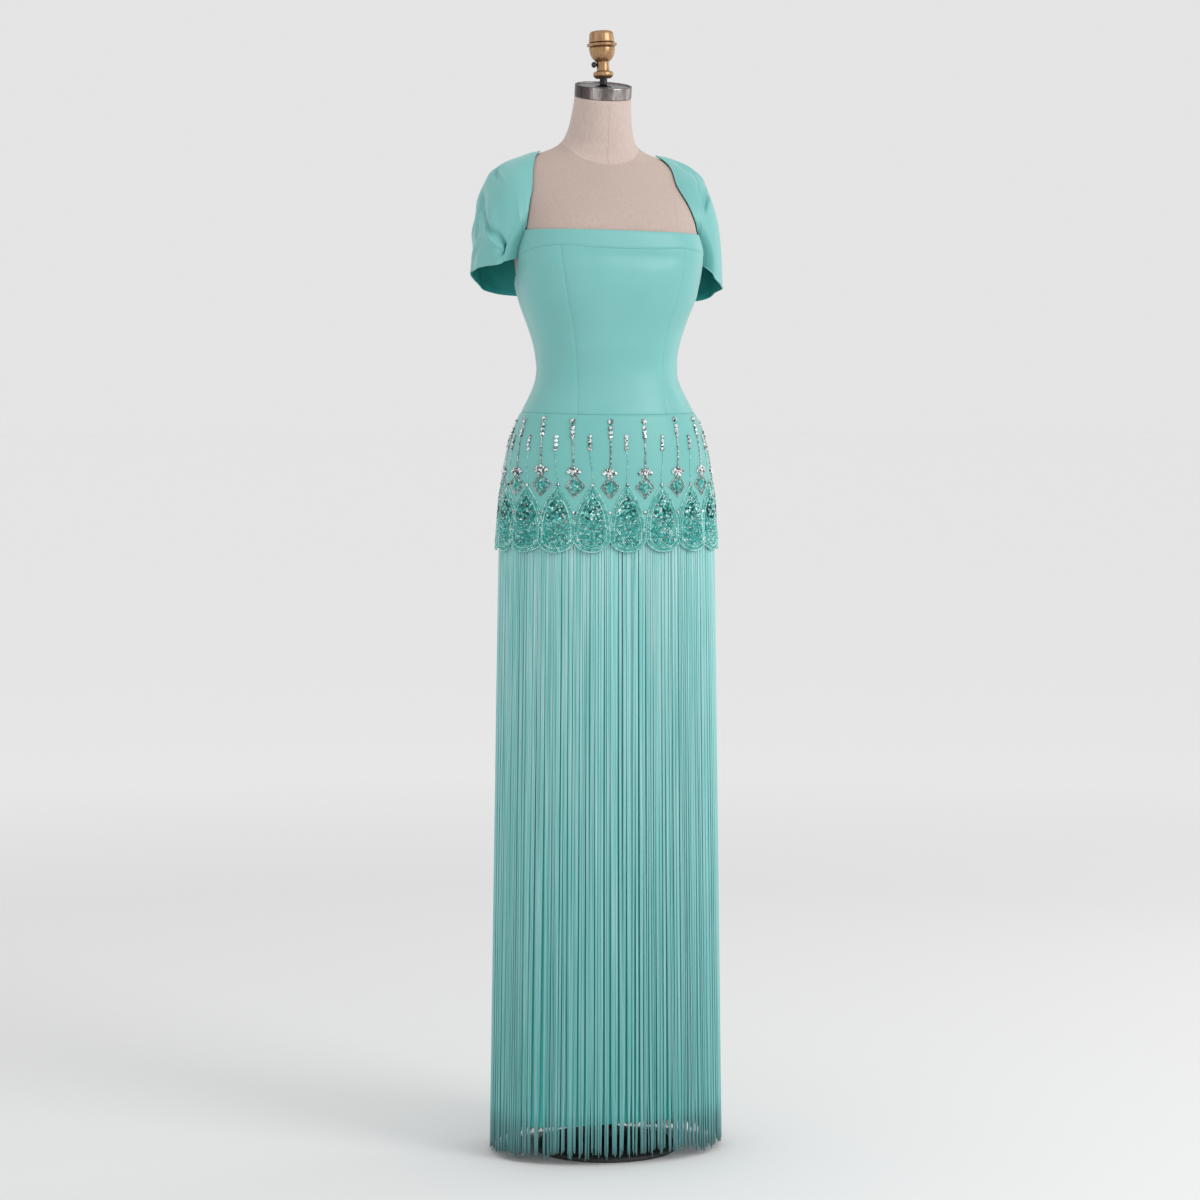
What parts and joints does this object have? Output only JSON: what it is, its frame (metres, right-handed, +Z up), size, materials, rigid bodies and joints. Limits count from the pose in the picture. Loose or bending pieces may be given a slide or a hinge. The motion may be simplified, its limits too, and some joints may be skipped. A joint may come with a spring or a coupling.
{
  "type": "beaded evening gown on dress form",
  "caption": "Full-length turquoise satin evening gown with square neck, cap sleeves, beaded scalloped peplum and long fringe skirt, worn on a limbless dress form with a finial.",
  "frame": {"origin": "centre of the underside of the round stand base, on the floor", "axes": "+Z up along the stand's pole, the gown's front faces -Y, the wearer's left is +X"},
  "size_m": [0.4111, 0.2654, 1.745],
  "materials": {
    "satin": "turquoise duchess satin with a soft sheen",
    "slip_satin": "plain turquoise lining satin",
    "beaded_satin": "satin worked with sequins, seed beads and crystals",
    "fringe_thread": "long rayon chainette fringe, turquoise",
    "linen": "natural linen jersey over the form",
    "steel": "polished steel neck cap",
    "black_steel": "black steel",
    "antique_brass": "antique brass finial",
    "thumb_steel": "bright steel knob",
    "cast_iron": "black enamelled base",
    "zip_tape": "turquoise zip tape",
    "zip_metal": "zip slider lacquered to match the satin"
  },
  "bodies": {
    "gown_on_form": {"bodice_centre_front": "satin", "bodice_side_front_left": "satin", "bodice_side_front_right": "satin", "bodice_side_back_left": "satin", "bodice_side_back_right": "satin", "bodice_centre_back_left": "satin", "bodice_centre_back_right": "satin", "neckline_band_front": "satin", "neckline_band_back_left": "satin", "neckline_band_back_right": "satin", "sleeve_left": "satin", "sleeve_right": "satin", "beaded_peplum": "beaded_satin", "slip_skirt": "slip_satin", "fringe_front": "fringe_thread", "fringe_back": "fringe_thread", "zip_tape": "zip_tape", "zip_slider": "zip_metal", "form_torso": "linen", "neck_cap": "steel", "finial_rod": "black_steel", "finial": "antique_brass", "stand_pole": "black_steel", "stand_base": "cast_iron"},
    "zip_pull": {"zip_pull": "zip_metal"},
    "thumb_screw": {"finial_thumb_screw": "thumb_steel"}
  },
  "joints": [
    {"name": "zip_pull_swing", "type": "hinge", "parent": "gown_on_form", "child": "zip_pull", "pos_m": [0, 0.11647, 1.427], "axis": [1, 0, 0], "range_deg": [0, 160]},
    {"name": "thumb_screw_turn", "type": "hinge", "parent": "gown_on_form", "child": "thumb_screw", "pos_m": [-0.01128, 0.0155, 1.69224], "axis": [-0.9986, 0, -0.0523], "continuous": true}
  ]
}
